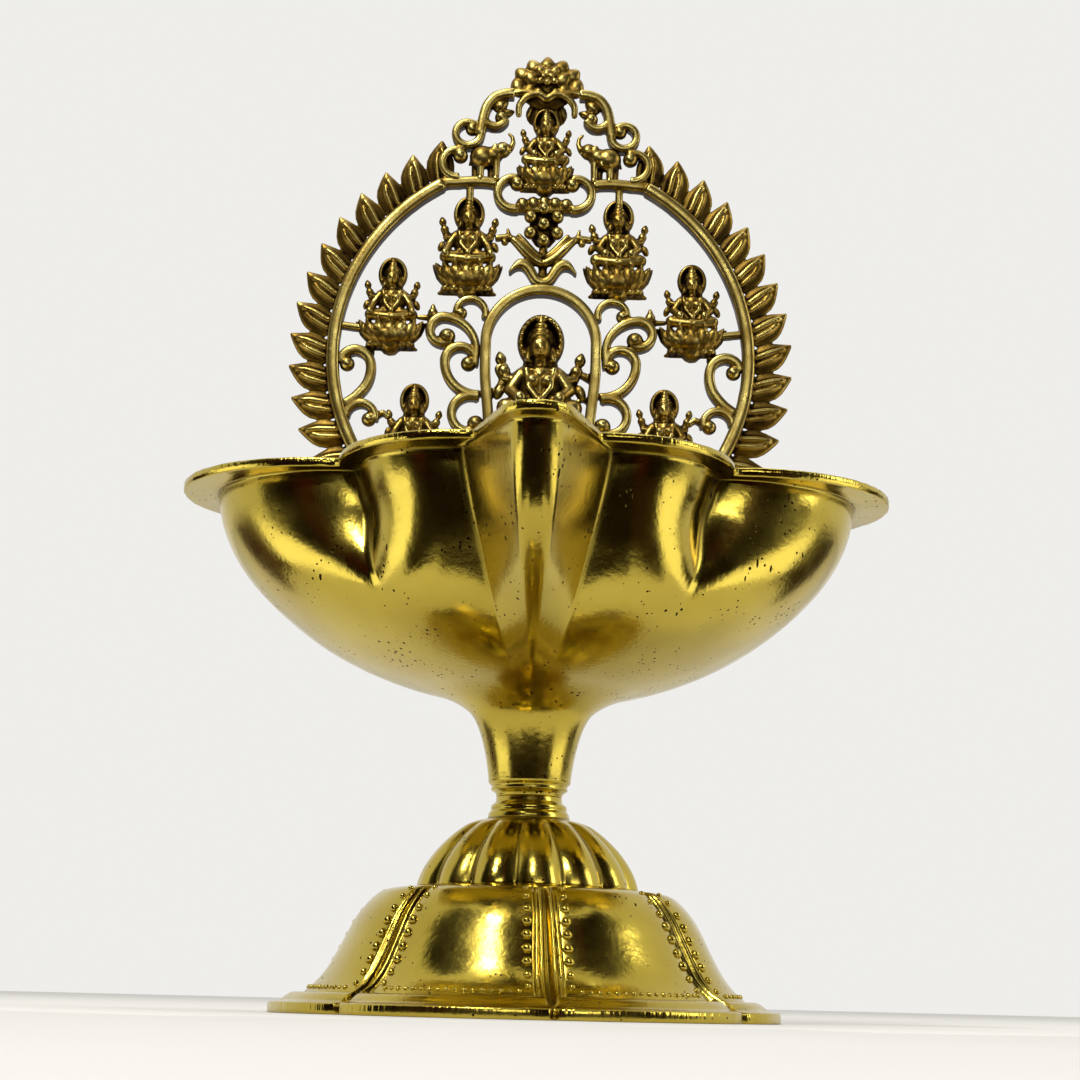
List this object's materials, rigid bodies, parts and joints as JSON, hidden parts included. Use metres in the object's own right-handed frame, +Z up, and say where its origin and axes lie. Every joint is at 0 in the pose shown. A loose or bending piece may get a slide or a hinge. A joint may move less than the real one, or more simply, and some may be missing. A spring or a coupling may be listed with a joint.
{
  "type": "oil lamp",
  "caption": "Cast brass oil lamp: petalled foot, fluted dome, lobed bowl with a wick spout and a pierced arch back plate with small seated figures.",
  "frame": {"origin": "centre of the foot's underside, on the stem's axis", "axes": "+Z up, the spout points to -Y, the back plate stands at +Y, +X to the right seen from the spout's side"},
  "size_m": [0.14, 0.1358, 0.221],
  "materials": {
    "polished_brass": "sand cast brass, machine polished, with fine scratches and casting pits",
    "antique_brass": "cast brass with dark brown patina in the recesses and rubbed highlights",
    "turned_brass": "turned brass fasteners",
    "steel_washer": "plain steel washer"
  },
  "bodies": {
    "base": {"foot": "polished_brass", "fluted_dome": "polished_brass", "stud_washer": "steel_washer"},
    "lamp_bowl": {"bowl": "polished_brass", "stud": "turned_brass", "stud_nut": "turned_brass", "plate_foot": "antique_brass", "plate_screws": "turned_brass", "plate_nuts": "turned_brass", "arch_left": "antique_brass", "arch_right": "antique_brass", "niche_arch": "antique_brass", "niche_scrolls_left": "antique_brass", "niche_scrolls_right": "antique_brass", "side_scrolls_left": "antique_brass", "side_scrolls_right": "antique_brass", "figure_centre": "antique_brass", "figure_top": "antique_brass", "figure_upper_left": "antique_brass", "figure_upper_right": "antique_brass", "figure_middle_left": "antique_brass", "figure_middle_right": "antique_brass", "figure_lower_left": "antique_brass", "figure_lower_right": "antique_brass", "lotus_scroll": "antique_brass", "bead_pendant": "antique_brass", "leaf_bracket": "antique_brass", "elephant_left": "antique_brass", "elephant_right": "antique_brass", "canopy_left": "antique_brass", "canopy_right": "antique_brass", "crest": "antique_brass"}
  },
  "joints": [
    {"name": "bowl_turn", "type": "hinge", "parent": "base", "child": "lamp_bowl", "pos_m": [0, 0, 0.0424], "axis": [0, 0, 1], "continuous": true}
  ]
}
